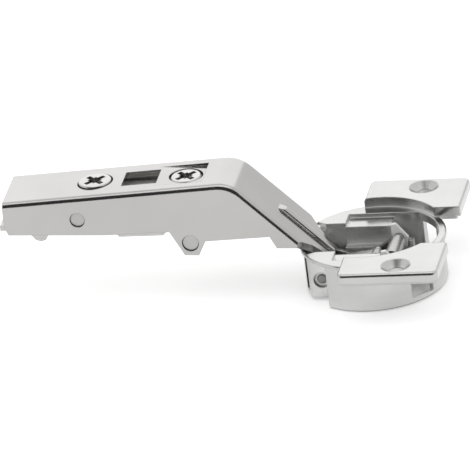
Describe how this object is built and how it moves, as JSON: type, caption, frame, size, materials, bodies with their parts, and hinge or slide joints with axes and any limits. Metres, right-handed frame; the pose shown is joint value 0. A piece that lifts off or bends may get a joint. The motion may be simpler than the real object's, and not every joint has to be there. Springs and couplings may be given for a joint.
{
  "type": "intermediate cabinet hinge",
  "caption": "Concealed hinge between two folding cabinet fronts: a screw-on cup with wings, crossed links, and a long cranked channel arm with adjusting screws and a clip lever.",
  "frame": {"origin": "cup axis at the plane where the collar and wings rest on the front's inner face", "axes": "+Z out of the front's face, arm towards -X at rest, every turning axis of the links parallel to Y"},
  "size_m": [0.1116, 0.055, 0.0315],
  "materials": {
    "plated_casting": "bright nickel plate on zinc casting",
    "plated_arm": "bright nickel plate on pressed steel",
    "plated_bracket": "nickel plate on pressed steel",
    "link_steel": "satin nickel plate",
    "pin_steel": "satin ground steel",
    "screw_steel": "nickel plate",
    "spring_steel": "drawn wire",
    "grey_moulding": "moulded light grey"
  },
  "bodies": {
    "cup": {"cup_body": "plated_casting", "front_cup_pin": "pin_steel", "rear_cup_pin": "pin_steel", "near_bearing_cheek": "grey_moulding", "far_bearing_cheek": "grey_moulding"},
    "outer_link": {"outer_link": "link_steel"},
    "arm": {"hinge_arm": "plated_arm", "knuckle_pin": "pin_steel", "near_stub_pin": "pin_steel", "far_stub_pin": "pin_steel", "near_rear_rivet": "pin_steel", "far_rear_rivet": "pin_steel", "front_cross_pin": "pin_steel"},
    "inner_link": {"inner_link": "link_steel"},
    "tilt_bracket": {"tilt_bracket": "plated_bracket"},
    "side_screw": {"side_adjust_screw": "screw_steel"},
    "depth_screw": {"depth_cam_screw": "screw_steel", "cam_washer": "pin_steel"},
    "clip_carriage": {"clip_carriage": "plated_bracket", "lever_pin": "pin_steel", "lever_spring": "spring_steel"},
    "clip_lever": {"clip_lever": "plated_bracket"}
  },
  "joints": [
    {"name": "arm_fold", "type": "hinge", "parent": "outer_link", "child": "arm", "pos_m": [0.00028, 0, -0.00503], "axis": [0, 1, 0], "range_deg": [0, 136.4]},
    {"name": "outer_link_swing", "type": "hinge", "parent": "cup", "child": "outer_link", "pos_m": [-0.012, 0, -0.0062], "axis": [0, 1, 0], "range_deg": [-17.2, 0]},
    {"name": "inner_link_swing", "type": "hinge", "parent": "cup", "child": "inner_link", "pos_m": [0.005, 0, -0.0032], "axis": [0, 1, 0], "range_deg": [0, 76.2]},
    {"name": "side_screw_turn", "type": "hinge", "parent": "tilt_bracket", "child": "side_screw", "pos_m": [-0.0446, 0, 0.0151], "axis": [-0.0165, 0, 0.9999], "range_deg": [-194, 194]},
    {"name": "side_tilt", "type": "hinge", "parent": "arm", "child": "tilt_bracket", "pos_m": [-0.0712, 0, 0.0119], "axis": [0, 1, 0], "range_deg": [-1.4, 1.4]},
    {"name": "depth_screw_turn", "type": "hinge", "parent": "tilt_bracket", "child": "depth_screw", "pos_m": [-0.0675, 0, 0.0147], "axis": [-0.0165, 0, 0.9999], "range_deg": [-62, 62]},
    {"name": "depth_slide", "type": "slide", "parent": "tilt_bracket", "child": "clip_carriage", "axis": [1, 0, 0], "range_m": [-0.0019, 0.0019]},
    {"name": "clip_lever_press", "type": "hinge", "parent": "clip_carriage", "child": "clip_lever", "pos_m": [-0.081, 0, 0.0096], "axis": [0, 1, 0], "range_deg": [0, 12], "stiffness_Nm_per_rad": 0.3, "springref_deg": -5.73}
  ],
  "couplings": [
    {"joint": "outer_link_swing", "follows": "arm_fold", "ratio": -0.12023},
    {"joint": "inner_link_swing", "follows": "arm_fold", "ratio": 0.53446},
    {"joint": "side_screw_turn", "follows": "side_tilt", "ratio": 133},
    {"joint": "depth_screw_turn", "follows": "depth_slide", "rad_per_m": -549.8}
  ]
}
